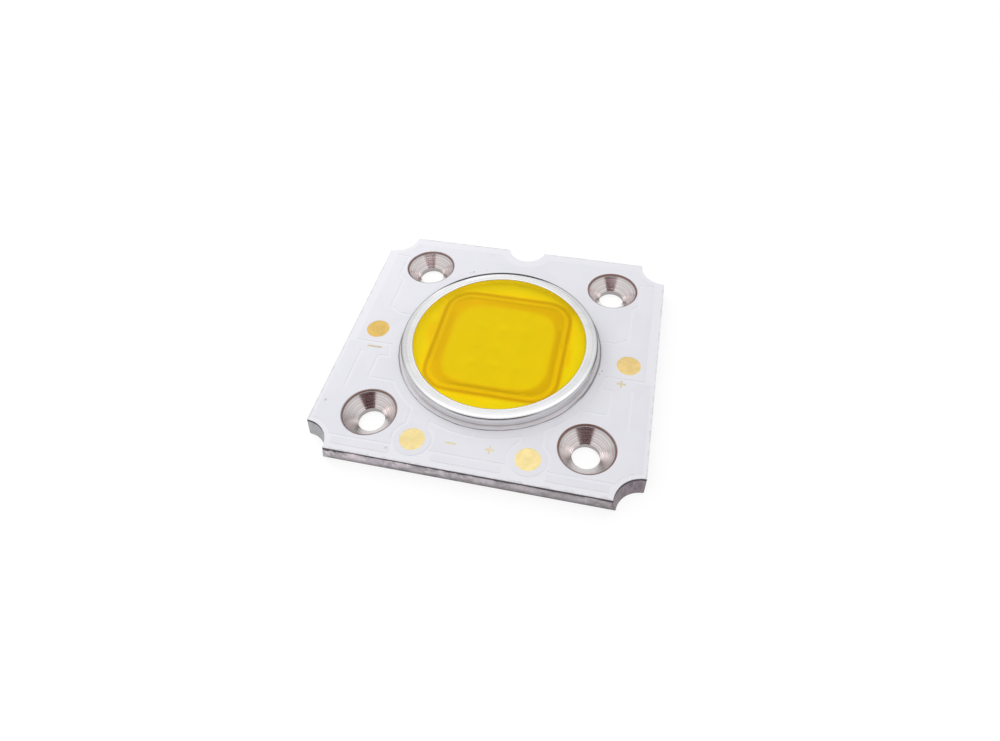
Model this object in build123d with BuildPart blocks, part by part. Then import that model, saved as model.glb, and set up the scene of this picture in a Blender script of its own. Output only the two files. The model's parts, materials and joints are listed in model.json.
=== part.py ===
"""Chip-on-board LED module on a metal-core board, with a ring dam full of phosphor gel.

Millimetres. The origin is the centre of the underside, +Z points up out of the
lit face and +Y points to the edge with the locating notch.
"""
import os
from math import sqrt

from build123d import *

os.makedirs("parts", exist_ok=True)

# Layers of the board
core_thickness = 2.0
dielectric_thickness = 0.12
foil_thickness = 0.07
mask_over_foil = 0.04
mask_relief = 0.03
edge_break = 0.15

# Screw holes and the board's margins round them
hole_pitch_x = 25.0
hole_pitch_y = 25.0
side_margin = 6.6
end_margin = 5.6
screw_hole_diameter = 3.2
countersink_diameter = 6.4
countersink_angle = 90.0

# Corner scallops and notch
scallop_top_radius = 3.2
scallop_bottom_radius = 2.7
notch_radius = 2.5
notch_depth = 2.0

# Ring, its adhesive and the gel
ring_inner_radius = 10.5
ring_width = 1.45
ring_height = 1.5
ring_shoulder_radius = 0.3
ring_lip_radius = 0.1
adhesive_thickness = 0.06
bead_width = 0.55
bead_height = 0.19
bead_edge_height = 0.17
bead_edge_run = 0.05
gel_depth = 1.33
gel_rim_rise = 0.07

# Die pocket and the bond rail around it
window_half = 7.25
window_corner_radius = 2.5
pocket_depth = 0.25
pocket_wall_run = 0.62
pocket_floor_corner_radius = 3.3
rail_width = 0.55
bare_copper_margin = 0.4
rail_split_offset = 1.15
plating_thickness = 0.02

# Dies and bond wires
die_size = 1.14
die_thickness = 0.15
die_column_pitch = 2.7
die_row_pitch = 2.95
die_columns = 3
die_rows = 3
attach_thickness = 0.03
attach_margin = 0.08
bond_inset = 0.2
wire_diameter = 0.04
wire_loop_height = 0.35
wire_bend_radius = 0.25

# Solder pads, neck pads under the gel and polarity marks
pad_diameter = 2.85
side_pad_inset = 3.3
front_pad_inset = 3.0
front_pad_spacing = 13.0
neck_pad_length = 2.8
left_neck_width = 0.9
right_neck_width = 0.45
neck_pad_gap = 0.25
neck_pad_shift = 0.6
mark_width = 0.22
side_minus_length = 1.9
side_plus_length = 1.05
side_mark_drop = 2.95
side_mark_shift = 0.6
front_minus_length = 1.2
front_plus_length = 1.0
front_mark_spacing = 4.4
front_mark_rise = 0.3

# Etched foil
foil_gap = 0.35
hole_foil_margin = 0.45
upper_pullback = 1.25
lower_pullback = 0.55
front_pullback = 0.75
zone_bottom = -2.3
zone_top = 3.1
zone_jog_height = 0.9
zone_jog_run = 1.5
strip_width = 2.45
strip_top = 14.0
strip_waist_drop = 4.6
strip_step = 0.7
moat_margin = 0.4
arm_margin = 1.45
tab_outer_x = 14.1
tab_top = -4.4
tab_height = 3.2
stub_width = 2.2
pad_field_margin = 0.68
slit_inset = 2.5
slit_top = -3.7
slit_length = 5.8
middle_bar_length = 7.6
corner_bar_length = 6.7
corner_bar_spacing = 24.1

# Levels and half sizes that follow from the sizes above
board_width = hole_pitch_x + 2 * side_margin
board_depth = hole_pitch_y + 2 * end_margin
half_width = board_width / 2
half_depth = board_depth / 2
ring_outer_radius = ring_inner_radius + ring_width
foil_level = core_thickness + dielectric_thickness
plating_level = foil_level + foil_thickness
board_top = plating_level + mask_over_foil
mask_low_level = board_top - mask_relief
ring_foot = board_top + adhesive_thickness
gel_level = board_top + gel_depth
floor_level = core_thickness - pocket_depth
die_level = floor_level + attach_thickness
bond_level = die_level + die_thickness
rail_level = plating_level + plating_thickness
mask_window_grow = rail_width + bare_copper_margin
moat_grow = mask_window_grow + moat_margin
moat_half = window_half + moat_grow
moat_corner_radius = window_corner_radius + moat_grow
arm_radius = ring_outer_radius + arm_margin
pad_radius = pad_diameter / 2
pad_field_radius = pad_radius + pad_field_margin
side_pad_x = half_width - side_pad_inset
front_pad_x = front_pad_spacing / 2
neck_pad_x = window_half + mask_window_grow + neck_pad_gap
front_pad_y = front_pad_inset - half_depth
front_mark_x = front_mark_spacing / 2
front_mark_y = front_pad_y + front_mark_rise
side_mark_x = side_pad_x - side_mark_shift
notch_centre_y = half_depth + notch_radius - notch_depth
hole_clear_reach = countersink_diameter / 2 + hole_foil_margin
edge_bar_front = front_pullback - half_depth
field_front = -hole_pitch_y / 2 - hole_clear_reach
edge_bar_depth = field_front - foil_gap - edge_bar_front
strip_edge_x = half_width - upper_pullback
strip_waist_x = hole_pitch_x / 2 + hole_clear_reach
lowest_corner = (Align.CENTER, Align.CENTER, Align.MIN)


def window_square(grow=0.0, mode=Mode.ADD):
    """Draw the die window's rounded square, grown evenly on every side."""
    side = 2 * (window_half + grow)
    RectangleRounded(side, side, window_corner_radius + grow, mode=mode)


def cut_board_edges():
    """Cut the screw holes and the drafted corner scallops from the layer being built."""
    with Locations((0, 0, board_top)):
        with GridLocations(hole_pitch_x, hole_pitch_y, 2, 2):
            CounterSinkHole(
                screw_hole_diameter / 2,
                countersink_diameter / 2,
                depth=board_top,
                counter_sink_angle=countersink_angle,
            )
    with GridLocations(board_width, board_depth, 2, 2):
        Cone(
            scallop_bottom_radius,
            scallop_top_radius,
            board_top,
            align=lowest_corner,
            mode=Mode.SUBTRACT,
        )


def keep(piece, name):
    """Label a finished piece and write it as one STEP file."""
    piece.part.label = name
    export_step(piece.part, f"parts/{name}.step")


# Outline shared by the core, the dielectric and the mask
with BuildSketch() as board_outline:
    Rectangle(board_width, board_depth)
    with Locations((0, notch_centre_y)):
        Circle(notch_radius, mode=Mode.SUBTRACT)

# Area of the copper foil before it is etched apart
with BuildSketch() as foil_area:
    with Locations((0, zone_bottom)):
        Rectangle(
            2 * strip_edge_x,
            half_depth - upper_pullback - zone_bottom,
            align=(Align.CENTER, Align.MIN),
        )
        Rectangle(
            2 * (half_width - lower_pullback),
            zone_bottom - field_front,
            align=(Align.CENTER, Align.MAX),
        )
    with Locations((-front_pad_x, front_pad_y), (front_pad_x, front_pad_y)):
        Circle(pad_field_radius)
    with GridLocations(board_width, board_depth, 2, 2):
        Circle(scallop_top_radius + lower_pullback, mode=Mode.SUBTRACT)
    with Locations((0, notch_centre_y)):
        Circle(notch_radius + upper_pullback, mode=Mode.SUBTRACT)
    with Locations((0, edge_bar_front + edge_bar_depth / 2)):
        Rectangle(middle_bar_length, edge_bar_depth)
        with GridLocations(corner_bar_spacing, 0, 2, 1):
            Rectangle(corner_bar_length, edge_bar_depth)
    window_square(mode=Mode.SUBTRACT)

# Front arms that lead from the side pads round the ring to the front pads
with BuildSketch() as front_arms:
    Circle(arm_radius)
    with Locations((0, tab_top)):
        Rectangle(2 * tab_outer_x, tab_height, align=(Align.CENTER, Align.MAX))
    with Locations((-front_pad_x, front_pad_y), (front_pad_x, front_pad_y)):
        Circle(pad_field_radius)
        Rectangle(stub_width, -front_pad_y, align=(Align.CENTER, Align.MIN))

# Isolation gaps etched into the foil
with BuildSketch() as isolation:
    add(offset(front_arms.sketch, foil_gap, mode=Mode.PRIVATE))
    add(front_arms.sketch, mode=Mode.SUBTRACT)
    with Locations((0, zone_bottom)):
        Rectangle(board_width, board_depth, align=(Align.CENTER, Align.MAX), mode=Mode.INTERSECT)
    with BuildLine() as side_gaps:
        Polyline(
            (-half_width, strip_top),
            (-strip_waist_x, strip_top),
            (-strip_waist_x, strip_top - strip_waist_drop + strip_step),
            (strip_width - strip_edge_x, strip_top - strip_waist_drop),
            (strip_width - strip_edge_x, zone_top + zone_jog_height),
            (strip_width - strip_edge_x + zone_jog_run, zone_top),
            (-moat_half, zone_top),
        )
        Line((-half_width, zone_bottom), (-sqrt(arm_radius**2 - zone_bottom**2), zone_bottom))
        Line((slit_inset - half_width, slit_top), (slit_inset - half_width, slit_top - slit_length))
        mirror(about=Plane.YZ)
    trace(line_width=foil_gap)
    with BuildLine() as front_moat:
        FilletPolyline(
            (-window_half, -rail_split_offset),
            (-moat_half, -rail_split_offset),
            (-moat_half, -moat_half),
            (0, -moat_half),
            (0, -arm_radius - foil_gap),
            radius=(foil_gap, moat_corner_radius, foil_gap),
        )
    trace(line_width=foil_gap)
    with BuildLine() as back_moat:
        FilletPolyline(
            (window_half, rail_split_offset),
            (moat_half, rail_split_offset),
            (moat_half, moat_half),
            (-moat_half, moat_half),
            (-moat_half, zone_top),
            radius=(foil_gap, moat_corner_radius, moat_corner_radius),
        )
    trace(line_width=foil_gap)

with BuildSketch() as foil:
    add(foil_area.sketch)
    add(isolation.sketch, mode=Mode.SUBTRACT)

negative_face = foil.faces().sort_by_distance((-side_pad_x, 0, 0))[0]
positive_face = foil.faces().sort_by_distance((side_pad_x, 0, 0))[0]

# Aluminium core with the pocket that holds the dies
with BuildPart() as core_plate:
    add(board_outline.sketch)
    extrude(amount=core_thickness)
    chamfer(core_plate.faces().sort_by(Axis.Z)[0].edges(), edge_break)
    cut_board_edges()
    with BuildSketch(Plane.XY.offset(floor_level)):
        floor_side = 2 * (window_half - pocket_wall_run)
        RectangleRounded(floor_side, floor_side, pocket_floor_corner_radius)
    with BuildSketch(Plane.XY.offset(core_thickness)):
        window_square()
    loft(mode=Mode.SUBTRACT)
keep(core_plate, "core_plate")

# Insulating layer that bonds the foil to the core
with BuildPart() as dielectric_layer:
    with BuildSketch(Plane.XY.offset(core_thickness)):
        add(board_outline.sketch)
        window_square(mode=Mode.SUBTRACT)
    extrude(amount=dielectric_thickness)
    cut_board_edges()
keep(dielectric_layer, "dielectric_layer")

# Copper that carries the current, and the fields left between
with BuildPart() as negative_track:
    with BuildSketch(Plane.XY.offset(foil_level)):
        add(negative_face)
    extrude(amount=foil_thickness)
    cut_board_edges()
keep(negative_track, "negative_track")

with BuildPart() as positive_track:
    with BuildSketch(Plane.XY.offset(foil_level)):
        add(positive_face)
    extrude(amount=foil_thickness)
    cut_board_edges()
keep(positive_track, "positive_track")

with BuildPart() as copper_fields:
    with BuildSketch(Plane.XY.offset(foil_level)):
        add(foil.sketch)
        add(negative_face, mode=Mode.SUBTRACT)
        add(positive_face, mode=Mode.SUBTRACT)
    extrude(amount=foil_thickness)
    cut_board_edges()
keep(copper_fields, "copper_fields")

# Gold-plated solder pads, each in its own window of the mask
pad_places = {
    "left_pad": (-side_pad_x, 0),
    "right_pad": (side_pad_x, 0),
    "front_left_pad": (-front_pad_x, front_pad_y),
    "front_right_pad": (front_pad_x, front_pad_y),
}
for pad_name, pad_place in pad_places.items():
    with BuildPart() as solder_pad:
        with BuildSketch(Plane.XY.offset(plating_level)):
            with Locations(pad_place):
                Circle(pad_radius)
        extrude(amount=plating_thickness)
    keep(solder_pad, pad_name)

# Gold-plated neck pads, where the tracks lead in under the ring
neck_pads = {
    "left_neck_pad": ((-neck_pad_x - left_neck_width / 2, neck_pad_shift), left_neck_width),
    "right_neck_pad": ((neck_pad_x + right_neck_width / 2, -neck_pad_shift), right_neck_width),
}
with BuildSketch() as neck_windows:
    for neck_place, neck_width in neck_pads.values():
        with Locations(neck_place):
            Rectangle(neck_width, neck_pad_length)
neck_platings = []
for neck_name, (neck_place, neck_width) in neck_pads.items():
    with BuildPart() as neck_pad:
        with BuildSketch(Plane.XY.offset(plating_level)):
            with Locations(neck_place):
                Rectangle(neck_width, neck_pad_length)
        extrude(amount=plating_thickness)
    keep(neck_pad, neck_name)
    neck_platings.append(neck_pad)

# Gold-plated polarity marks: place, length of the bar and height of the upright
mark_shapes = {
    "left_minus_mark": ((-side_mark_x, -side_mark_drop), side_minus_length, mark_width),
    "right_plus_mark": ((side_mark_x, -side_mark_drop), side_plus_length, side_plus_length),
    "front_minus_mark": ((-front_mark_x, front_mark_y), front_minus_length, mark_width),
    "front_plus_mark": ((front_mark_x, front_mark_y), front_plus_length, front_plus_length),
}
with BuildSketch() as mark_windows:
    for mark_place, bar_length, upright_height in mark_shapes.values():
        with Locations(mark_place):
            Rectangle(bar_length, mark_width)
            Rectangle(mark_width, upright_height)
for mark_name, (mark_place, bar_length, upright_height) in mark_shapes.items():
    with BuildPart() as polarity_mark:
        with BuildSketch(Plane.XY.offset(plating_level)):
            with Locations(mark_place):
                Rectangle(bar_length, mark_width)
                Rectangle(mark_width, upright_height)
        extrude(amount=plating_thickness)
    keep(polarity_mark, mark_name)

# White mask: it sinks beside the foil, so the etched outlines show as a faint relief
with BuildPart() as solder_mask:
    with BuildSketch(Plane.XY.offset(foil_level)):
        add(board_outline.sketch)
    extrude(amount=mask_low_level - foil_level)
    with BuildSketch(Plane.XY.offset(mask_low_level)):
        add(foil.sketch)
    extrude(amount=mask_relief)
    with BuildSketch(Plane.XY.offset(foil_level)):
        add(foil.sketch)
    extrude(amount=foil_thickness, mode=Mode.SUBTRACT)
    with BuildSketch(Plane.XY.offset(foil_level)):
        window_square(mask_window_grow)
        add(mark_windows.sketch)
        add(neck_windows.sketch)
        with Locations(*pad_places.values()):
            Circle(pad_radius)
    extrude(amount=board_top - foil_level, mode=Mode.SUBTRACT)
    cut_board_edges()
keep(solder_mask, "solder_mask")

# Gold plating on the two halves of the bond rail
bond_rails = []
for rail_name, rail_face in (("negative_rail", negative_face), ("positive_rail", positive_face)):
    with BuildPart() as bond_rail:
        with BuildSketch(Plane.XY.offset(plating_level)):
            window_square(rail_width)
            window_square(mode=Mode.SUBTRACT)
            add(rail_face, mode=Mode.INTERSECT)
        extrude(amount=plating_thickness)
    keep(bond_rail, rail_name)
    bond_rails.append(bond_rail)

# Blue dies on their adhesive, in rows and columns on the pocket's floor
with BuildPart() as die_attach:
    with Locations((0, 0, floor_level)):
        with GridLocations(die_column_pitch, die_row_pitch, die_columns, die_rows):
            Box(
                die_size + 2 * attach_margin,
                die_size + 2 * attach_margin,
                attach_thickness,
                align=lowest_corner,
            )
keep(die_attach, "die_attach")

with BuildPart() as led_dies:
    with Locations((0, 0, die_level)):
        with GridLocations(die_column_pitch, die_row_pitch, die_columns, die_rows):
            Box(die_size, die_size, die_thickness, align=lowest_corner)
keep(led_dies, "led_dies")

# Gold bond wires: down each column from the back rail, over the dies, to the front rail
rail_bond_y = window_half + rail_width / 2
die_bond_offset = die_size / 2 - bond_inset
die_row_places = [(row - (die_rows - 1) / 2) * die_row_pitch for row in range(die_rows)]
loop_level = rail_level + wire_loop_height
wire_ends = []
for low_y, high_y in zip(die_row_places, die_row_places[1:]):
    wire_ends.append(((low_y + die_bond_offset, bond_level), (high_y - die_bond_offset, bond_level)))
wire_ends.append(((-rail_bond_y, rail_level), (die_row_places[0] - die_bond_offset, bond_level)))
wire_ends.append(((die_row_places[-1] + die_bond_offset, bond_level), (rail_bond_y, rail_level)))

with BuildPart() as wire_column:
    for (start_y, start_z), (end_y, end_z) in wire_ends:
        with BuildLine() as wire_route:
            FilletPolyline(
                (0, start_y, start_z),
                (0, start_y, loop_level),
                (0, end_y, loop_level),
                (0, end_y, end_z),
                radius=wire_bend_radius,
            )
        with BuildSketch(Plane((0, start_y, start_z))):
            Circle(wire_diameter / 2)
        sweep(path=wire_route.wire())

with BuildPart() as bond_wires:
    with GridLocations(die_column_pitch, 0, die_columns, 1):
        add(wire_column.part)
keep(bond_wires, "bond_wires")

# Adhesive under the foot of the ring, squeezed out into a bead round it
with BuildPart() as ring_adhesive:
    with BuildSketch(Plane.XZ):
        with BuildLine():
            Polyline(
                (ring_outer_radius, board_top + bead_height),
                (ring_outer_radius, ring_foot),
                (ring_inner_radius, ring_foot),
                (ring_inner_radius, board_top),
                (ring_outer_radius + bead_width, board_top),
                (ring_outer_radius + bead_width - bead_edge_run, board_top + bead_edge_height),
                (ring_outer_radius, board_top + bead_height),
            )
        make_face()
    revolve(axis=Axis.Z)
keep(ring_adhesive, "ring_adhesive")

# Polished ring that dams the gel
with BuildPart() as dam_ring:
    with BuildSketch(Plane.XY.offset(ring_foot)):
        Circle(ring_outer_radius)
        Circle(ring_inner_radius, mode=Mode.SUBTRACT)
    extrude(amount=ring_height - adhesive_thickness)
    rim_edges = dam_ring.edges().group_by(Axis.Z)[-1].sort_by(SortBy.RADIUS)
    fillet(rim_edges[-1], ring_shoulder_radius)
    rim_edges = dam_ring.edges().group_by(Axis.Z)[-1].sort_by(SortBy.RADIUS)
    fillet(rim_edges[0], ring_lip_radius)
keep(dam_ring, "dam_ring")

# Phosphor gel: it fills the ring and the pocket round everything that lies in them
with BuildPart() as phosphor_gel:
    with BuildSketch(Plane.XZ):
        with BuildLine():
            Polyline(
                (0, gel_level),
                (0, floor_level),
                (ring_inner_radius, floor_level),
                (ring_inner_radius, gel_level + gel_rim_rise),
            )
            ThreePointArc(
                (ring_inner_radius, gel_level + gel_rim_rise),
                (ring_inner_radius / 2, gel_level + gel_rim_rise / 4),
                (0, gel_level),
            )
        make_face()
    revolve(axis=Axis.Z)
    for neighbour in (
        core_plate,
        dielectric_layer,
        negative_track,
        positive_track,
        copper_fields,
        solder_mask,
        *bond_rails,
        *neck_platings,
        ring_adhesive,
        dam_ring,
        die_attach,
        led_dies,
        bond_wires,
    ):
        add(neighbour.part, mode=Mode.SUBTRACT)
keep(phosphor_gel, "phosphor_gel")
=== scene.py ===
"""Finishes, ring, gel and studio of a chip-on-board LED module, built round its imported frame."""
import json
import math

import bmesh
import bpy
from bpy.props import FloatProperty, FloatVectorProperty, IntProperty, PointerProperty
from bpy.types import NodeSocket, Operator, Panel, PropertyGroup
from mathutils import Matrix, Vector, noise


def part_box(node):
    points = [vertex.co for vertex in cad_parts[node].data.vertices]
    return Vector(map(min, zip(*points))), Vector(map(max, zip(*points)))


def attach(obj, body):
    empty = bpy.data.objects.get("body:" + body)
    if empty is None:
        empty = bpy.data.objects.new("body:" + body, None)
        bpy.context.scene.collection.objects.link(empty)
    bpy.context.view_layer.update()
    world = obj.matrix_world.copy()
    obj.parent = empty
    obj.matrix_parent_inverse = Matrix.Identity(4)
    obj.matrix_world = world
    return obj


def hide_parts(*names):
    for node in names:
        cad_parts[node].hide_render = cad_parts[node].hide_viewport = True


bl_info = {
    "name": "Chip-on-board LED module",
    "version": (1, 0, 0),
    "blender": (4, 5, 0),
    "location": "View3D > Sidebar > LED module",
    "description": "Dresses the packed LED module and sets up its studio",
    "category": "Object",
}

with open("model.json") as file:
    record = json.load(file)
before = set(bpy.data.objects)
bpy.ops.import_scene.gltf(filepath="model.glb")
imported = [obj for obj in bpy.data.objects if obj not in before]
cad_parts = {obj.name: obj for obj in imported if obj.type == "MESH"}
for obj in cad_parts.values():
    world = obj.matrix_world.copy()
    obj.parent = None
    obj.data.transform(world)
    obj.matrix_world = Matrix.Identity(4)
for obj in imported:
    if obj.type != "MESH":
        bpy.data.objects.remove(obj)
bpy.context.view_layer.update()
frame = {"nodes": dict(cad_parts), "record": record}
BODY = "root"
MM = 0.001

BOARD_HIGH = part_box("solder_mask")[1]
RING_LOW, RING_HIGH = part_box("dam_ring")
BEAD_LOW, BEAD_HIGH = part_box("ring_adhesive")
GEL_LOW, GEL_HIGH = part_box("phosphor_gel")
CORE_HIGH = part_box("core_plate")[1]
RAIL_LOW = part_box("negative_rail")[0]
SCREW_HOLES = next(mount for mount in frame["record"]["mounts"] if mount["name"] == "screw_holes")
HOLE_X = SCREW_HOLES["dims"]["spacing_x_mm"] / 2
HOLE_Y = SCREW_HOLES["dims"]["spacing_y_mm"] / 2

# Measures for the finishes, in millimetres
BOARD_X = BOARD_HIGH.x / MM
BOARD_Y = BOARD_HIGH.y / MM
BOARD_TOP = BOARD_HIGH.z / MM
CORE_TOP = CORE_HIGH.z / MM
POCKET_FLOOR = GEL_LOW.z / MM
GEL_RADIUS = GEL_HIGH.x / MM
RING_RADIUS = RING_HIGH.x / MM
RING_TOP = RING_HIGH.z / MM
BEAD_TOP = BEAD_HIGH.z / MM
COUNTERSINK_RADIUS = 3.2
SCALLOP_RADIUS = 3.2
LAND_HEIGHT = 0.63
BURR_AND_SHADE_LOW = 1.82
BURR_AND_SHADE_HIGH = 1.93
WINDOW_HALF = 8.2
FLOOR_HALF = 6.63

# How square the mask's window and the pocket's floor are: 2 is a circle, more is squarer
WINDOW_POWER = 5.27
FLOOR_POWER = 4.4

# Nodes of gold: front pads, polarity marks, and what lies under the gel
FRONT_PADS = ("front_left_pad", "front_right_pad")
MARKS = ("left_minus_mark", "right_plus_mark", "front_minus_mark", "front_plus_mark")
GOLD_UNDER_GEL = ("negative_rail", "positive_rail", "left_neck_pad", "right_neck_pad", "bond_wires")

# Specks of dust on the mask: where they lie and their radius, in millimetres, and how dark they are
DUST_SPECKS = (
    (-6.4, 12.6, 0.12, 1.0),
    (-6.8, 12.35, 0.14, 0.3),
    (-4.75, 13.3, 0.16, 0.18),
    (12.8, -1.4, 0.10, 1.0),
    (12.55, -1.95, 0.14, 0.35),
    (13.4, -2.2, 0.12, 0.25),
    (-18.05, -11.9, 0.24, 0.3),
    (-9.0, -16.75, 0.22, 0.25),
)

# Ways out from the ring's middle to its far side and to its near side, which place the painted dark
# reflections on the ring
FAR_SIDE = (-0.24, 0.97, 0.0)
NEAR_SIDE = (0.14, -0.99, 0.0)

# Colours with full alpha: plain white, and what is left of it in the studio's dark opening
WHITE = (1.0, 1.0, 1.0, 1.0)
OPENING_TONE = (1.0, 0.24, 0.27, 1.0)

# Light of the studio: bands by height, and round patches by direction with their radii in degrees
ROOF_BAND = (0.745, 0.87)
CEILING_BAND = (0.90, 0.97)
OPENING_SILL = (0.40, 0.48)
OPENING_HEAD = (0.83, 0.72)
OPENING = {"middle": (0.30, -0.95, 0.0), "reach": 36, "core": 30, "outside": 0.0, "inside": 0.91}
SEAM = {"middle": (-0.2, 0.96, 0.2), "reach": 26, "core": 18, "outside": 1.0, "inside": 0.04}
PANEL = {"middle": (-0.215, 0.73, 0.65), "reach": 9, "core": 4, "outside": 0.0, "inside": 0.42}
GLINT = {"middle": (-0.225, 0.705, 0.672), "reach": 5, "core": 2, "outside": 0.0, "inside": 0.24}

# Edges that bend by more than this angle stay sharp
SHARP_ANGLE = math.radians(35.0)


def colour(name, description, default):
    """A colour that a user may change."""
    return FloatVectorProperty(
        name=name, description=description, default=default, subtype="COLOR", size=3, min=0, max=1)


def length(name, description, default):
    """A length in metres that a user may change."""
    return FloatProperty(name=name, description=description, default=default, unit="LENGTH", precision=5)


def amount(name, description, default):
    """A plain amount that a user may change."""
    return FloatProperty(name=name, description=description, default=default, min=0)


class BoardSettings(PropertyGroup):
    """Colours of the board's layers and of the gold on them."""

    mask_colour: colour("Mask", "White solder mask over bare board", (0.80, 0.805, 0.85))
    mask_on_foil: colour("Mask on foil", "Solder mask where copper lies under it", (0.755, 0.762, 0.81))
    mask_relief: length("Mask relief", "How far the mask sinks beside the foil", 0.03 * MM)
    worn_mask_colour: colour("Worn mask", "Mask where the board's edge is worn", (0.45, 0.43, 0.43))
    thin_mask_colour: colour(
        "Thin mask", "Mask by its square window, where copper shows through", (0.62, 0.42, 0.22))
    core_colour: colour("Core", "Bare aluminium of the board", (0.63, 0.58, 0.615))
    edge_grime_colour: colour("Edge grime", "Grime in worn patches of the sides", (0.10, 0.085, 0.085))
    # Painted shade: the pocket's wall in shade, warmed by a painted reflection of the copper above
    pocket_wall_shade_colour: colour(
        "Pocket wall", "Sloped wall of the die pocket, warm from the copper above", (0.66, 0.38, 0.16))
    scallop_colour: colour("Scallops", "Dull cut faces of the corner scallops", (0.24, 0.205, 0.225))
    # Painted light: a lit copy of the scallop colour, for the left scallops
    lit_scallop_colour: colour("Pale scallops", "Cut faces of the left scallops", (0.42, 0.42, 0.43))
    turned_colour: colour("Turned core", "Cut aluminium in the countersinks", (0.91, 0.845, 0.84))
    dielectric_colour: colour("Dielectric", "Insulating layer at the board's edge", (0.045, 0.032, 0.045))
    copper_colour: colour("Copper", "Copper foil where it is cut or bare", (0.38, 0.20, 0.12))
    burnt_colour: colour("Burnt rim", "Brown edge of the mask at a countersink", (0.17, 0.08, 0.07))
    gold_colour: colour("Gold", "Gold plating of the front pads", (0.95, 0.78, 0.38))
    aged_gold_colour: colour("Aged gold", "Gold of the right pad, a little warmer", (0.93, 0.70, 0.30))
    worn_gold_colour: colour("Worn gold", "Gold of the left pad, warmer with wear", (0.93, 0.645, 0.20))
    mark_colour: colour("Marks", "Gold of the polarity marks, paled by the mask", (0.82, 0.69, 0.45))
    wet_copper_colour: colour("Copper under gel", "Bare copper, wetted by the gel", (0.37, 0.12, 0.03))
    wet_gold_colour: colour("Gold under gel", "Gold of the rails and wires in the gel", (0.66, 0.44, 0.20))
    die_colour: colour("Dies", "Top of the light-emitting dies", (0.66, 0.68, 0.68))
    attach_colour: colour("Die attach", "Silver-filled adhesive under the dies", (0.74, 0.74, 0.73))
    dust_colour: colour("Dust", "Specks of dust on the board", (0.10, 0.09, 0.085))


class RingSettings(PropertyGroup):
    """Shape and finish of the ring and the adhesive at its foot."""

    metal_colour: colour("Metal", "Polished metal of the ring", (0.86, 0.86, 0.87))
    adhesive_colour: colour("Adhesive", "Cured adhesive at the ring's foot", (0.74, 0.72, 0.75))
    # Painted shade and dark reflection on the ring's edge and at its foot; also the dark lines on the
    # adhesive's edge
    dark_line_colour: colour("Grime", "Dark residue on the ring's edge and round its foot", (0.06, 0.05, 0.06))
    shoulder_radius: length("Shoulder", "Rounding of the ring's outer top edge", 0.3 * MM)
    lip_radius: length("Lip", "Rounding of the ring's inner top edge", 0.1 * MM)
    bead_edge_height: length("Bead edge", "Height of the adhesive just inside its edge", 0.17 * MM)
    bead_edge_run: length("Bead edge run", "How far the adhesive's edge slopes", 0.05 * MM)
    bead_wander: length("Bead wander", "How far the adhesive's edge strays inwards", 0.10 * MM)
    segments: IntProperty(name="Segments", description="Segments round the ring", default=288, min=48)


class GelSettings(PropertyGroup):
    """Shape and colour of the phosphor gel."""

    body_colour: colour("Gel", "Phosphor gel seen by its own scatter", (0.88, 0.62, 0.00005))
    depth_colour: colour("Depth", "Colour that light keeps on its way through the gel", (0.99, 0.93, 0.30))
    rim_rise: length("Rim rise", "How far the gel climbs at the ring", 0.07 * MM)
    rim_reach: length("Rim reach", "How far from the ring the climb fades", 0.6 * MM)
    window_half: length("Window", "Half the side of the mask's square window", WINDOW_HALF * MM)
    window_corner: length("Window corner", "Corner radius of the mask's window", 3.45 * MM)
    pocket_half: length("Pocket", "Half the side of the pocket at its top", 7.25 * MM)
    pocket_corner: length("Pocket corner", "Corner radius of the pocket at its top", 2.5 * MM)
    floor_half: length("Pocket floor", "Half the side of the pocket's floor", FLOOR_HALF * MM)
    floor_corner: length("Floor corner", "Corner radius of the pocket's floor", 3.3 * MM)
    overlap: length("Overlap", "How far the gel's hidden faces reach into what they lie on", 0.008 * MM)


class StageSettings(PropertyGroup):
    """Camera, light and floor."""

    lens: FloatProperty(
        name="Lens", description="Focal length on a 36 mm sensor, in millimetres", default=22.918, min=1)
    camera_place: FloatVectorProperty(
        name="Camera", description="Where the camera stands", subtype="TRANSLATION", unit="LENGTH",
        size=3, default=(0.012998, -0.050257, 0.061086))
    camera_turn: FloatVectorProperty(
        name="Camera turn", description="How the camera is turned", subtype="EULER", unit="ROTATION",
        size=3, default=(0.68475, 0.02837, 0.21965))
    wall_strength: amount("Walls", "Brightness of the white studio walls", 0.71)
    roof_strength: amount("Roof", "Brightness of the soft light overhead", 1.47)
    ceiling_strength: amount("Ceiling", "Brightness of the middle of the soft light", 0.95)
    key_power: amount("Key lamp", "Power of the soft lamp on the left, in watts", 0.05)
    fill_power: amount("Fill lamp", "Power of the soft lamp overhead, in watts", 0.025)
    floor_colour: colour("Floor", "Pale studio floor", (0.80, 0.80, 0.80))


def add_node(tree, kind, inputs=None, **options):
    """Add a node, set its options, and set or link its inputs."""
    made = tree.nodes.new(kind)
    for option, value in options.items():
        setattr(made, option, value)
    for socket, value in (inputs or {}).items():
        if isinstance(value, NodeSocket):
            tree.links.new(value, made.inputs[socket])
        else:
            made.inputs[socket].default_value = value
    return made


def compute(tree, operation, first, second=0.0):
    """Socket of a Math node on one or two values."""
    return add_node(tree, "ShaderNodeMath", {0: first, 1: second}, operation=operation).outputs[0]


def product(tree, first, *others):
    """Socket of several values multiplied in turn."""
    for other in others:
        first = compute(tree, "MULTIPLY", first, other)
    return first


def remap(tree, value, start, end, low=0.0, high=1.0):
    """Socket of a value mapped smoothly from one range to another."""
    inputs = {"Value": value, "From Min": start, "From Max": end, "To Min": low, "To Max": high}
    return add_node(tree, "ShaderNodeMapRange", inputs, interpolation_type="SMOOTHSTEP").outputs["Result"]


def spread(tree, factor, low, high):
    """Socket of a factor from 0 to 1 spread smoothly between two values."""
    return remap(tree, factor, 0.0, 1.0, low, high)


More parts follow.
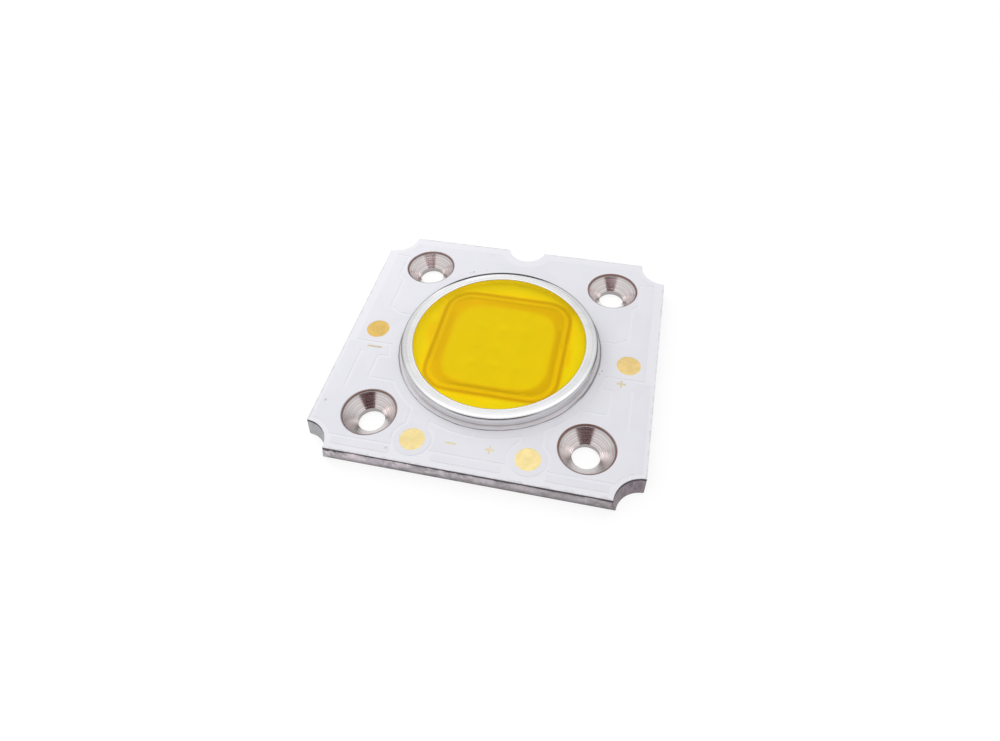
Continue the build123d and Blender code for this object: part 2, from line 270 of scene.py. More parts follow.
def split(tree, place):
    """Sockets X, Y and Z of a place."""
    return add_node(tree, "ShaderNodeSeparateXYZ", {0: place}).outputs


def stretch(tree, place, scale):
    """Socket of a place scaled along each axis."""
    return add_node(tree, "ShaderNodeVectorMath", {0: place, 1: scale}, operation="MULTIPLY").outputs[0]


def dot_product(tree, first, second):
    """Socket of the dot product of two directions."""
    made = add_node(tree, "ShaderNodeVectorMath", {0: first, 1: second}, operation="DOT_PRODUCT")
    return made.outputs["Value"]


def distance(tree, across, along):
    """Socket of the distance made by two offsets at right angles."""
    offset = add_node(tree, "ShaderNodeCombineXYZ", {"X": across, "Y": along}).outputs[0]
    return add_node(tree, "ShaderNodeVectorMath", {0: offset}, operation="LENGTH").outputs["Value"]


def square_distance(tree, across, along, power):
    """Socket of the distance to a point, measured so that a rounded square lies equally far all round."""
    sizes = [compute(tree, "ABSOLUTE", offset) for offset in (across, along)]
    raised = [compute(tree, "POWER", size, power) for size in sizes]
    return compute(tree, "POWER", compute(tree, "ADD", *raised), 1 / power)


def mirrored_distance(tree, axes, across, along):
    """Socket of the distance to the nearest of four points that mirror one another in both axes."""
    return distance(
        tree, compute(tree, "SUBTRACT", compute(tree, "ABSOLUTE", axes["X"]), across),
        compute(tree, "SUBTRACT", compute(tree, "ABSOLUTE", axes["Y"]), along))


def rgba(shade, gain=1.0):
    """A colour made brighter or darker, with full alpha."""
    return (shade[0] * gain, shade[1] * gain, shade[2] * gain, 1.0)


def blend_values(tree, factor, first, second):
    """Socket of a mix of two values."""
    return add_node(tree, "ShaderNodeMix", {0: factor, 2: first, 3: second}, data_type="FLOAT").outputs[0]


def blend_colours(tree, factor, first, second):
    """Socket of a mix of two colours."""
    return add_node(tree, "ShaderNodeMix", {0: factor, 6: first, 7: second}, data_type="RGBA").outputs[2]


def shade_range(tree, factor, shade, start, end):
    """Socket of one colour whose brightness runs from a start to an end with a factor."""
    return blend_colours(tree, factor, rgba(shade, start), rgba(shade, end))


def noise_value(tree, place, scale, detail=3.0, roughness=0.55):
    """Socket of a noise value in space."""
    inputs = {"Vector": place, "Scale": scale, "Detail": detail, "Roughness": roughness}
    return add_node(tree, "ShaderNodeTexNoise", inputs).outputs["Fac"]


def new_group(name, inputs, outputs):
    """An empty shader node group with named float or vector sockets."""
    tree = bpy.data.node_groups.new(name, "ShaderNodeTree")
    for socket_name, kind, default in inputs:
        socket = tree.interface.new_socket(socket_name, in_out="INPUT", socket_type=kind)
        if default is not None:
            socket.default_value = default
    for socket_name in outputs:
        tree.interface.new_socket(socket_name, in_out="OUTPUT", socket_type="NodeSocketFloat")
    return tree, add_node(tree, "NodeGroupInput").outputs, add_node(tree, "NodeGroupOutput").inputs


def use_group(tree, name, inputs):
    """Outputs of a node group placed in a material with its own values."""
    return add_node(tree, "ShaderNodeGroup", inputs, node_tree=bpy.data.node_groups[name]).outputs


def build_mottle_group():
    """Broad clouds and fine grain for colour, roughness and bump."""
    tree, given, result = new_group(
        "Mottle",
        (("Place", "NodeSocketVector", None), ("Clouds per mm", "NodeSocketFloat", 0.4),
         ("Grains per mm", "NodeSocketFloat", 8.0)),
        ("Clouds", "Grain"))
    clouds = add_node(tree, "ShaderNodeTexNoise", {
        "Vector": given["Place"], "Scale": given["Clouds per mm"], "Detail": 3.0, "Distortion": 0.6})
    grain = add_node(tree, "ShaderNodeTexNoise", {
        "Vector": given["Place"], "Scale": given["Grains per mm"], "Detail": 2.0})
    tree.links.new(remap(tree, clouds.outputs["Fac"], 0.3, 0.7), result["Clouds"])
    tree.links.new(remap(tree, grain.outputs["Fac"], 0.3, 0.7), result["Grain"])


def build_turned_group():
    """Uneven tool lines that run round an axis."""
    tree, given, result = new_group(
        "Turned lines",
        (("Radius", "NodeSocketFloat", 1.0), ("Lines per mm", "NodeSocketFloat", 6.0)),
        ("Lines", "Bands"))
    lines = add_node(tree, "ShaderNodeTexNoise", {
        "W": given["Radius"], "Scale": given["Lines per mm"], "Detail": 3.0}, noise_dimensions="1D")
    broader = compute(tree, "MULTIPLY", given["Lines per mm"], 0.3)
    bands = add_node(tree, "ShaderNodeTexNoise", {
        "W": given["Radius"], "Scale": broader, "Detail": 1.0}, noise_dimensions="1D")
    tree.links.new(remap(tree, lines.outputs["Fac"], 0.3, 0.7), result["Lines"])
    tree.links.new(remap(tree, bands.outputs["Fac"], 0.35, 0.65), result["Bands"])


def build_edge_group():
    """How worn the board is by its outline, in ragged patches."""
    tree, given, result = new_group(
        "Edge wear",
        (("Place", "NodeSocketVector", None), ("Reach mm", "NodeSocketFloat", 0.4)),
        ("Wear",))
    axes = split(tree, given["Place"])
    inset_x = compute(tree, "SUBTRACT", BOARD_X, compute(tree, "ABSOLUTE", axes["X"]))
    inset_y = compute(tree, "SUBTRACT", BOARD_Y, compute(tree, "ABSOLUTE", axes["Y"]))
    inset = compute(tree, "MINIMUM", inset_x, inset_y)
    nearness = compute(tree, "SUBTRACT", 1.0, compute(tree, "DIVIDE", inset, given["Reach mm"]))
    patches = noise_value(tree, given["Place"], scale=1.3, detail=4.0, roughness=0.65)
    ragged = compute(tree, "MULTIPLY", compute(tree, "SUBTRACT", patches, 0.5), 2.4)
    worn = compute(tree, "ADD", nearness, ragged)
    tree.links.new(remap(tree, worn, 0.55, 1.1), result["Wear"])


def new_material(name):
    """An empty node material with object coordinates in millimetres."""
    material = bpy.data.materials.new(name)
    material.use_nodes = True
    tree = material.node_tree
    tree.nodes.clear()
    place = add_node(tree, "ShaderNodeTexCoord").outputs["Object"]
    scaled = add_node(tree, "ShaderNodeVectorMath", {0: place, "Scale": 1 / MM}, operation="SCALE")
    return material, tree, scaled.outputs[0]


def add_bump(tree, shader, height, depth, strength):
    """Give a shader a bump, with its depth in millimetres."""
    bump = add_node(tree, "ShaderNodeBump", {
        "Strength": strength, "Distance": depth * MM, "Height": height})
    tree.links.new(bump.outputs["Normal"], shader.inputs["Normal"])


def finish_surface(tree, inputs, height=None, depth=0.01, strength=0.3):
    """Add the Principled shader, with an optional bump, and the output."""
    shader = add_node(tree, "ShaderNodeBsdfPrincipled", inputs)
    if height is not None:
        add_bump(tree, shader, height, depth, strength)
    add_node(tree, "ShaderNodeOutputMaterial", {"Surface": shader.outputs["BSDF"]})


def mask_material(board):
    """Satin white mask, a touch greyer over the foil, with a faint orange peel."""
    material, tree, place = new_material("white_mask")
    mottle = use_group(tree, "Mottle", {"Place": place, "Clouds per mm": 0.22, "Grains per mm": 5.0})
    axes = split(tree, place)
    raised = remap(tree, axes["Z"], BOARD_TOP - board.mask_relief / MM, BOARD_TOP)
    base = blend_colours(tree, raised, rgba(board.mask_colour), rgba(board.mask_on_foil))
    base = blend_colours(tree, spread(tree, mottle["Clouds"], 0.0, 0.5), base, rgba(board.mask_colour))
    wear = use_group(tree, "Edge wear", {"Place": place, "Reach mm": 0.5})["Wear"]
    base = blend_colours(tree, compute(tree, "MULTIPLY", wear, 0.35), base, rgba(board.worn_mask_colour))
    # Brown rims of the countersinks
    hole_radius = mirrored_distance(tree, axes, HOLE_X, HOLE_Y)
    by_hole = remap(tree, hole_radius, COUNTERSINK_RADIUS + 0.09, COUNTERSINK_RADIUS + 0.04)
    rim = product(tree, by_hole, spread(tree, mottle["Clouds"], 0.6, 0.95))
    base = blend_colours(tree, rim, base, rgba(board.burnt_colour))
    # Thin mask round the square window
    window = square_distance(tree, axes["X"], axes["Y"], WINDOW_POWER)
    by_window = remap(tree, window, WINDOW_HALF + 0.35, WINDOW_HALF + 0.05, 0.0, 0.9)
    base = blend_colours(tree, by_window, base, rgba(board.thin_mask_colour))
    for speck_x, speck_y, speck_radius, speck_strength in DUST_SPECKS:
        away = distance(tree, compute(tree, "SUBTRACT", axes["X"], speck_x),
                        compute(tree, "SUBTRACT", axes["Y"], speck_y))
        speck = remap(tree, away, speck_radius, 0.4 * speck_radius, 0.0, speck_strength)
        base = blend_colours(tree, speck, base, rgba(board.dust_colour))
    roughness = spread(tree, mottle["Grain"], 0.42, 0.52)
    finish_surface(tree, {"Base Color": base, "Roughness": roughness},
                   mottle["Grain"], depth=0.006, strength=0.25)
    return material


def dielectric_material(board):
    """Dark filled resin, smeared with metal where a countersink cuts it."""
    material, tree, place = new_material("dielectric")
    mottle = use_group(tree, "Mottle", {"Place": place, "Clouds per mm": 0.6, "Grains per mm": 10.0})
    base = shade_range(tree, mottle["Clouds"], board.dielectric_colour, 0.7, 1.5)
    axes = split(tree, place)
    hole_radius = mirrored_distance(tree, axes, HOLE_X, HOLE_Y)
    smear = product(tree, remap(tree, hole_radius, COUNTERSINK_RADIUS + 0.2, COUNTERSINK_RADIUS + 0.1),
                    remap(tree, axes["Z"], CORE_TOP + 0.11, CORE_TOP + 0.06))
    base = blend_colours(tree, smear, base, rgba(board.core_colour, 0.6))
    roughness = spread(tree, mottle["Grain"], 0.45, 0.65)
    finish_surface(tree, {"Base Color": base, "Roughness": roughness},
                   mottle["Grain"], depth=0.01, strength=0.4)
    return material


def copper_material(board):
    """Etched copper foil, slightly tarnished, and darker where the gel wets it."""
    material, tree, place = new_material("copper_foil")
    mottle = use_group(tree, "Mottle", {"Place": place, "Clouds per mm": 0.7, "Grains per mm": 14.0})
    base = shade_range(tree, mottle["Clouds"], board.copper_colour, 0.8, 1.15)
    axes = split(tree, place)
    under_gel = remap(tree, distance(tree, axes["X"], axes["Y"]), GEL_RADIUS + 0.2, GEL_RADIUS)
    base = blend_colours(tree, under_gel, base, rgba(board.wet_copper_colour))
    roughness = spread(tree, mottle["Grain"], 0.35, 0.55)
    finish_surface(tree, {"Base Color": base, "Metallic": 1.0, "Roughness": roughness},
                   mottle["Grain"], depth=0.006, strength=0.3)
    return material


def gold_material(name, shade):
    """Satin flash gold with fine grain and dull patches."""
    material, tree, place = new_material(name)
    mottle = use_group(tree, "Mottle", {"Place": place, "Clouds per mm": 1.1, "Grains per mm": 9.0})
    base = shade_range(tree, mottle["Clouds"], shade, 0.93, 1.05)
    roughness = spread(tree, mottle["Grain"], 0.34, 0.50)
    finish_surface(tree, {"Base Color": base, "Metallic": 1.0, "Roughness": roughness},
                   mottle["Grain"], depth=0.008, strength=0.35)
    return material


def side_colour(tree, board, place, axes, streaks):
    """Socket of the colour of the core's sawn sides, its corner scallops and its underside."""
    core = board.core_colour
    mottle = use_group(tree, "Mottle", {"Place": place, "Clouds per mm": 0.8, "Grains per mm": 12.0})
    side = shade_range(tree, streaks, core, 0.85, 1.25)
    # Painted shade: darker to the right and towards the underside
    shade_to_right = remap(tree, axes["X"], -14.0, 12.0, 0.0, 0.38)
    side = blend_colours(tree, shade_to_right, side, rgba(core, 0.3))
    shade_downwards = product(tree, remap(tree, axes["Z"], 1.2, 0.0), 0.85)
    side = blend_colours(tree, shade_downwards, side, rgba(core, 0.24))
    # Grime in worn patches
    wear = use_group(tree, "Edge wear", {"Place": place, "Reach mm": 0.5})["Wear"]
    grime_and_shade = product(tree, mottle["Clouds"], 0.5, wear)
    side = blend_colours(tree, grime_and_shade, side, rgba(board.edge_grime_colour))
    # Dull scallops, the left ones paler with painted light
    dull = shade_range(tree, streaks, board.scallop_colour, 0.65, 1.5)
    light_to_left = remap(tree, axes["X"], 5.0, -5.0)
    dull = blend_colours(tree, light_to_left, dull, rgba(board.lit_scallop_colour))
    corner_radius = mirrored_distance(tree, axes, BOARD_X, BOARD_Y)
    in_scallop = remap(tree, corner_radius, SCALLOP_RADIUS + 0.2, SCALLOP_RADIUS + 0.05)
    side = blend_colours(tree, in_scallop, side, dull)
    # Dark line below the top edge, partly a ragged burr and partly painted shade under the edge, reaching
    # lower along the front towards the right, and scratched at its left end
    ragged = product(tree, compute(tree, "SUBTRACT", mottle["Clouds"], 0.5), 0.14)
    scratched = product(tree, remap(tree, axes["X"], -13.2, -15.2, 0.0, 0.45), streaks)
    smear = compute(tree, "ADD", remap(tree, axes["X"], -12.0, 6.0, 0.03, 0.13), scratched)
    on_front = remap(tree, axes["Y"], 0.2 - BOARD_Y, 0.05 - BOARD_Y)
    shift = compute(tree, "ADD", ragged, product(tree, smear, on_front))
    burr_and_shade = remap(tree, compute(tree, "ADD", axes["Z"], shift), BURR_AND_SHADE_LOW, BURR_AND_SHADE_HIGH, 0.0, 0.9)
    side = blend_colours(tree, burr_and_shade, side, rgba(board.dielectric_colour, 1.2))
    # Rolled sheet below
    rolled = noise_value(tree, stretch(tree, place, (0.06, 1.0, 0.0)), scale=4.0, detail=4.0, roughness=0.7)
    sheet = shade_range(tree, remap(tree, rolled, 0.3, 0.7), core, 0.92, 1.15)
    return blend_colours(tree, remap(tree, axes["Z"], 0.01, 0.0), side, sheet)


def pocket_colour(tree, board, axes):
    """Socket of the colour of the die pocket: its bare floor, and its wall in painted shade, warmed by a
    painted reflection of the copper above.
    """
    above_floor = remap(tree, axes["Z"], POCKET_FLOOR + 0.01, POCKET_FLOOR + 0.05)
    # Painted shade spread onto the floor beside the wall
    floor_edge = square_distance(tree, axes["X"], axes["Y"], FLOOR_POWER)
    shade_by_wall = remap(tree, floor_edge, FLOOR_HALF - 0.48, FLOOR_HALF - 0.03, 0.0, 0.9)
    # Painted shade: the wall darker on the right
    shade_to_right = remap(tree, axes["X"], -5.0, 5.0)
    wall = shade_range(tree, shade_to_right, board.pocket_wall_shade_colour, 1.0, 0.85)
    in_wall_shade = compute(tree, "MAXIMUM", above_floor, shade_by_wall)
    return blend_colours(tree, in_wall_shade, rgba(board.core_colour, 1.1), wall)


def countersink_colour(tree, board, axes, hole_radius, bands):
    """Socket of the colour of the countersinks, with a painted dark reflection on the near side of the
    front ones and painted shade on the land below.
    """
    cut = shade_range(tree, bands, board.turned_colour, 0.82, 1.07)
    # Painted dark reflection on the near side of the front countersinks
    outwards = compute(tree, "SUBTRACT", compute(tree, "ABSOLUTE", axes["Y"]), HOLE_Y)
    toward_edge = compute(tree, "DIVIDE", outwards, hole_radius)
    to_front = remap(tree, axes["Y"], 5.0, -5.0)
    near_dark_reflection = product(tree, remap(tree, toward_edge, -0.5, 0.7), to_front)
    cut = blend_colours(tree, near_dark_reflection, cut, rgba(board.turned_colour, 0.60))
    # Painted shade on the hole's land below the cone
    land_shade = remap(tree, axes["Z"], LAND_HEIGHT + 0.03, LAND_HEIGHT - 0.01)
    return blend_colours(tree, land_shade, cut, rgba(board.turned_colour, 0.42))


def core_material(board):
    """Aluminium with sawn sides, turned countersinks and a plain pocket."""
    material, tree, place = new_material("aluminium_core")
    axes = split(tree, place)
    hole_radius = mirrored_distance(tree, axes, HOLE_X, HOLE_Y)
    in_hole = product(tree, remap(tree, hole_radius, COUNTERSINK_RADIUS + 0.2, COUNTERSINK_RADIUS + 0.1),
                      remap(tree, axes["Z"], 0.0, 0.01))
    radius = distance(tree, axes["X"], axes["Y"])
    in_pocket = product(tree, remap(tree, radius, GEL_RADIUS + 0.5, GEL_RADIUS),
                        remap(tree, axes["Z"], POCKET_FLOOR - 0.3, POCKET_FLOOR - 0.1))
    along_cone = compute(tree, "ADD", hole_radius, compute(tree, "MULTIPLY", axes["Z"], 0.35))
    turned = use_group(tree, "Turned lines", {"Radius": along_cone, "Lines per mm": 12.0})
    sawn = noise_value(tree, stretch(tree, place, (1.0, 1.0, 0.25)), scale=3.0, detail=5.0, roughness=0.7)
    streaks = remap(tree, sawn, 0.3, 0.7)
    side = side_colour(tree, board, place, axes, streaks)
    cut = countersink_colour(tree, board, axes, hole_radius, turned["Bands"])
    base = blend_colours(tree, in_hole, side, cut)
    base = blend_colours(tree, in_pocket, base, pocket_colour(tree, board, axes))
    rough_side = spread(tree, streaks, 0.42, 0.58)
    rough_cut = spread(tree, turned["Lines"], 0.14, 0.24)
    roughness = blend_values(tree, in_hole, rough_side, rough_cut)
    relief = blend_values(tree, in_hole, streaks, compute(tree, "MULTIPLY", turned["Lines"], 0.35))
    finish_surface(tree, {"Base Color": base, "Metallic": 1.0, "Roughness": roughness},
                   relief, depth=0.012, strength=0.35)
    return material


def dress(material, *node_names):
    """Give CAD nodes their finished material."""
    for node_name in node_names:
        mesh = frame["nodes"][node_name].data
        mesh.materials.clear()
        mesh.materials.append(material)


def round_loop(radius, height, count):
    """Points of a level circle about the module's axis."""
    turns = [2 * math.pi * step / count for step in range(count)]
    return [Vector((radius * math.cos(turn), radius * math.sin(turn), height)) for turn in turns]


def square_loop(half, corner, height, count):
    """Points of a level rounded square about the module's axis, spaced by angle."""
    points = []
    inner = half - corner
    for step in range(count):
        turn = 2 * math.pi * step / count
        across = abs(math.cos(turn))
        along = abs(math.sin(turn))
        reach = half / max(across, along)
        if reach * min(across, along) > inner:
            middle = inner * (across + along)
            reach = middle + math.sqrt(middle ** 2 - 2 * inner ** 2 + corner ** 2)
        points.append(Vector((reach * math.cos(turn), reach * math.sin(turn), height)))
    return points


def skin(name, loops, material, wrap=False):
    """Skin a row of equal loops into one piece: wrapped into a tube, or closed by a point at each end."""
    mesh = bpy.data.meshes.new(name)
    shape = bmesh.new()
    rows = [[shape.verts.new(point) for point in loop] for loop in loops]
    count = len(rows[0])
    pairs = list(zip(rows, rows[1:]))
    if wrap:
        pairs.append((rows[-1], rows[0]))
    for lower, upper in pairs:
        for step in range(count):
            after = (step + 1) % count
            shape.faces.new((lower[step], lower[after], upper[after], upper[step]))
    if not wrap:
        for row in (rows[0], rows[-1]):
            middle = shape.verts.new(sum((corner.co for corner in row), Vector()) / count)
            for step in range(count):
                shape.faces.new((row[step], row[(step + 1) % count], middle))
    bmesh.ops.recalc_face_normals(shape, faces=shape.faces)
    shape.to_mesh(mesh)
    shape.free()
    mesh.shade_smooth()
    mesh.set_sharp_from_angle(angle=SHARP_ANGLE)
    mesh.materials.append(material)
    piece = bpy.data.objects.new(name, mesh)
    bpy.context.scene.collection.objects.link(piece)
    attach(piece, BODY)
    return piece


class MODULE_OT_effects(Operator):
    """Build the node groups that several finishes share."""

    bl_idname = "led_module.effects"
    bl_label = "Shared effects"

    def execute(self, context):
        build_mottle_group()
        build_turned_group()
        build_edge_group()
        return {"FINISHED"}


class MODULE_OT_board(Operator):
    """Dress the core, the dielectric, the foil and the mask."""

    bl_idname = "led_module.board"
    bl_label = "Board"

    def execute(self, context):
        board = context.scene.module_board
        dress(core_material(board), "core_plate")
        dress(dielectric_material(board), "dielectric_layer")
        dress(copper_material(board), "negative_track", "positive_track", "copper_fields")
        dress(mask_material(board), "solder_mask")
        return {"FINISHED"}


class MODULE_OT_gold(Operator):
    """Dress the pads, the polarity marks, the bond rails and the wires in gold."""

    bl_idname = "led_module.gold"
    bl_label = "Gold"

    def execute(self, context):
        board = context.scene.module_board
        dress(gold_material("gold_plate", board.gold_colour), *FRONT_PADS)
        dress(gold_material("aged_gold", board.aged_gold_colour), "right_pad")
        dress(gold_material("worn_gold", board.worn_gold_colour), "left_pad")
        dress(gold_material("pale_gold", board.mark_colour), *MARKS)
        dress(gold_material("gold_under_gel", board.wet_gold_colour), *GOLD_UNDER_GEL)
        return {"FINISHED"}


class MODULE_OT_dies(Operator):
    """Dress the dies and the adhesive under them."""

    bl_idname = "led_module.dies"
    bl_label = "Dies"

    def execute(self, context):
        board = context.scene.module_board
        material, tree, place = new_material("die")
        mottle = use_group(tree, "Mottle", {"Place": place, "Clouds per mm": 0.9, "Grains per mm": 6.0})
        base = shade_range(tree, mottle["Clouds"], board.die_colour, 0.9, 1.1)
        finish_surface(tree, {"Base Color": base, "Roughness": spread(tree, mottle["Grain"], 0.25, 0.4)})
        dress(material, "led_dies")
        material, tree, place = new_material("die_attach")
        mottle = use_group(tree, "Mottle", {"Place": place, "Clouds per mm": 1.5, "Grains per mm": 20.0})
        base = shade_range(tree, mottle["Grain"], board.attach_colour, 0.85, 1.1)
        finish_surface(tree, {"Base Color": base, "Roughness": spread(tree, mottle["Grain"], 0.5, 0.7)},
                       mottle["Grain"], depth=0.01, strength=0.4)
        dress(material, "die_attach")
        return {"FINISHED"}


class MODULE_OT_ring(Operator):
    """Turn the polished ring."""

    bl_idname = "led_module.ring"
    bl_label = "Ring"

    def material(self, settings):
        """Polished metal with tool lines, and painted dark reflection and shade on its outer edge and at
        its foot.
        """
        material, tree, place = new_material("ring_metal")
        axes = split(tree, place)
        height = axes["Z"]
        radius = distance(tree, axes["X"], axes["Y"])
        turned = use_group(tree, "Turned lines", {
            "Radius": compute(tree, "ADD", radius, height), "Lines per mm": 9.0})
        mottle = use_group(tree, "Mottle", {"Place": place, "Clouds per mm": 0.35, "Grains per mm": 10.0})
        base = shade_range(tree, turned["Bands"], settings.metal_colour, 0.96, 1.04)
        # Painted dark reflection on the shoulder, broad on the far side
        farness = compute(tree, "DIVIDE", dot_product(tree, place, FAR_SIDE), radius)
        far = remap(tree, farness, 0.6, 0.98)
        past_edge = compute(tree, "ADD", compute(tree, "SUBTRACT", radius, RING_RADIUS - 0.22),
                            compute(tree, "MULTIPLY", far, 0.32))
        far_shoulder_reflection = product(tree, remap(tree, past_edge, 0.0, 0.08), spread(tree, far, 0.2, 0.95),
                           remap(tree, height, RING_TOP - 0.35, RING_TOP - 0.2))
        # Painted dark reflection in a line on the near side
        nearness = compute(tree, "DIVIDE", dot_product(tree, place, NEAR_SIDE), radius)
        line = product(tree, remap(tree, height, RING_TOP - 0.22, RING_TOP - 0.16),
                       remap(tree, height, RING_TOP - 0.04, RING_TOP - 0.08),
                       remap(tree, nearness, 0.86, 0.97, 0.0, 0.8))
        # Painted dark reflection in a thin outline, all round but in front
        outline = product(tree, remap(tree, radius, RING_RADIUS - 0.18, RING_RADIUS - 0.10),
                          remap(tree, height, RING_TOP - 0.31, RING_TOP - 0.26),
                          remap(tree, nearness, 0.6, 0.2, 0.0, 0.85))
        # Painted shade at the foot
        grime_and_shade = remap(tree, height, BEAD_TOP + 0.14, BEAD_TOP, 0.0, 0.7)
        for trace in (far_shoulder_reflection, line, outline):
            grime_and_shade = compute(tree, "MAXIMUM", grime_and_shade, trace)
        base = blend_colours(tree, grime_and_shade, base, rgba(settings.dark_line_colour))
        roughness = compute(tree, "ADD", spread(tree, mottle["Clouds"], 0.12, 0.20),
                        compute(tree, "MULTIPLY", turned["Lines"], 0.08))
        finish_surface(tree, {"Base Color": base, "Metallic": 1.0, "Roughness": roughness},
                       turned["Lines"], depth=0.004, strength=0.25)
        return material

    def execute(self, context):
        settings = context.scene.module_ring
        inner = GEL_HIGH.x
        outer = RING_HIGH.x
        foot = RING_LOW.z
        top = RING_HIGH.z
        profile = [(inner, foot)]
        lip_steps = 5
        for step in range(lip_steps + 1):
            bend = math.pi / 2 * step / lip_steps
            profile.append((inner + settings.lip_radius * (1 - math.cos(bend)),
                            top - settings.lip_radius * (1 - math.sin(bend))))
        shoulder_steps = 12
        for step in range(shoulder_steps + 1):
            bend = math.pi / 2 * step / shoulder_steps
            profile.append((outer - settings.shoulder_radius * (1 - math.sin(bend)),
                            top - settings.shoulder_radius * (1 - math.cos(bend))))
        profile.append((outer, foot))
        loops = [round_loop(radius, height, settings.segments) for radius, height in profile]
        ring = skin("polished_ring", loops, self.material(settings), wrap=True)
        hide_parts("dam_ring")
        return {"FINISHED"}


class MODULE_OT_adhesive(Operator):
    """Lay the adhesive under the ring, squeezed out unevenly round its foot."""

    bl_idname = "led_module.adhesive"
    bl_label = "Adhesive"

    def material(self, settings):
        """Pale adhesive, darker on its edge."""
        material, tree, place = new_material("ring_adhesive")
        mottle = use_group(tree, "Mottle", {"Place": place, "Clouds per mm": 0.5, "Grains per mm": 6.0})
        base = shade_range(tree, mottle["Clouds"], settings.adhesive_colour, 0.96, 1.04)
        axes = split(tree, place)
        edge_height = (BEAD_LOW.z + settings.bead_edge_height) / MM
        half_height = (BEAD_LOW.z + 0.5 * settings.bead_edge_height) / MM
        edge = remap(tree, axes["Z"], edge_height - 0.02, half_height)
        grime_and_shade = product(tree, edge, spread(tree, mottle["Clouds"], 0.35, 0.8))
        # A thin line just inside the edge, all round but in front
        line = remap(tree, axes["Z"], edge_height + 0.007, edge_height + 0.003, 0.0, 0.7)
        line = product(tree, line, remap(tree, axes["Y"], -9.0, -5.0))
        grime_and_shade = compute(tree, "MAXIMUM", grime_and_shade, line)
        base = blend_colours(tree, grime_and_shade, base, rgba(settings.dark_line_colour))
        roughness = spread(tree, mottle["Grain"], 0.3, 0.45)
        finish_surface(tree, {"Base Color": base, "Roughness": roughness},
                       mottle["Grain"], depth=0.01, strength=0.3)
        return material

    def execute(self, context):
        settings = context.scene.module_ring
        count = settings.segments
        inner = GEL_HIGH.x
        wall = RING_HIGH.x
        edge = BEAD_HIGH.x
        bottom = BEAD_LOW.z
        under_ring = RING_LOW.z
        profile = (
            (inner, bottom),
            (edge, bottom),
            (edge - settings.bead_edge_run, bottom + settings.bead_edge_height),
            ((wall + edge) / 2, bottom + 1.05 * settings.bead_edge_height),
            (wall, BEAD_HIGH.z),
            (wall, under_ring),
            (inner, under_ring),
        )
        loops = [round_loop(radius, height, count) for radius, height in profile]
        # The loops of the outer edge stray
        for loop in loops[1:4]:
            for point in loop:
                around = point.normalized()
                stray = 0.5 + 0.5 * noise.noise(around * 5.0) + 0.3 * noise.noise(around * 19.0)
                shift = settings.bead_wander * max(0.0, min(1.0, stray))
                point.x -= around.x * shift
                point.y -= around.y * shift
        bead = skin("adhesive_bead", loops, self.material(settings), wrap=True)
        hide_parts("ring_adhesive")
        return {"FINISHED"}


class MODULE_OT_gel(Operator):
    """Pour the phosphor gel into the ring and the pocket."""

    bl_idname = "led_module.gel"
    bl_label = "Gel"

    def material(self, settings):
        """Cloudy yellow gel that the camera looks into and that lets other light through, with a faint
        painted glow, stronger near the ring on the left.
        """
        material, tree, place = new_material("phosphor_gel")
        mottle = use_group(tree, "Mottle", {"Place": place, "Clouds per mm": 0.16, "Grains per mm": 3.0})
        base = shade_range(tree, mottle["Clouds"], settings.body_colour, 0.98, 1.02)
        axes = split(tree, place)
        radius = distance(tree, axes["X"], axes["Y"])
        # Painted light: a faint glow all over, stronger near the ring on the left where the ring shades the
        # gel
        glow_by_ring = product(tree, remap(tree, radius, GEL_RADIUS - 2.5, GEL_RADIUS - 0.2),
                            remap(tree, axes["X"], 3.0, -8.0))
        gel = add_node(tree, "ShaderNodeBsdfPrincipled", {
            "Base Color": base,
            "Roughness": spread(tree, mottle["Grain"], 0.30, 0.34),
            "IOR": 1.41,
            "Transmission Weight": 0.66,
            "Specular Tint": (1.0, 0.75, 0.1, 1.0),
            "Specular IOR Level": 0.06,
            "Emission Color": shade_range(tree, glow_by_ring, settings.body_colour, 1.0, 1.7),
            "Emission Strength": 0.115,
        })
        add_bump(tree, gel, mottle["Clouds"], depth=0.01, strength=0.05)
        clear = add_node(tree, "ShaderNodeBsdfTransparent", {"Color": WHITE})
        path = add_node(tree, "ShaderNodeLightPath").outputs
        direct = compute(tree, "MAXIMUM", path["Is Camera Ray"], path["Is Transmission Ray"])
        surface = add_node(tree, "ShaderNodeMixShader", {
            0: direct, 1: clear.outputs["BSDF"], 2: gel.outputs["BSDF"]})
        depth = add_node(tree, "ShaderNodeVolumeAbsorption", {
            "Color": rgba(settings.depth_colour), "Density": 300.0})
        add_node(tree, "ShaderNodeOutputMaterial", {
            "Surface": surface.outputs[0], "Volume": depth.outputs["Volume"]})
        return material

    def execute(self, context):
        settings = context.scene.module_gel
        count = context.scene.module_ring.segments
        sink = settings.overlap
        radius = GEL_HIGH.x
        level = GEL_HIGH.z - settings.rim_rise
        loops = []
        top_steps = 40
        for step in range(1, top_steps + 1):
            out = radius * (1 - (1 - step / top_steps) ** 2)
            climb = 0.25 * (out / radius) ** 2 + 0.75 * math.exp((out - radius) / settings.rim_reach)
            loops.append(round_loop(out, level + settings.rim_rise * climb, count))
        bed = BOARD_HIGH.z - sink
        foil = RAIL_LOW.z - sink
        core = CORE_HIGH.z - sink
        floor = GEL_LOW.z - sink
        loops.append(round_loop(radius, bed, count))
        for half, corner, height in (
                (settings.window_half, settings.window_corner, bed),
                (settings.window_half, settings.window_corner, foil),
                (settings.pocket_half, settings.pocket_corner, foil),
                (settings.pocket_half, settings.pocket_corner, core),
                (settings.floor_half, settings.floor_corner, floor)):
            loops.append(square_loop(half, corner, height, count))
        gel = skin("gel_fill", loops, self.material(settings))
        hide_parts("phosphor_gel")
        return {"FINISHED"}


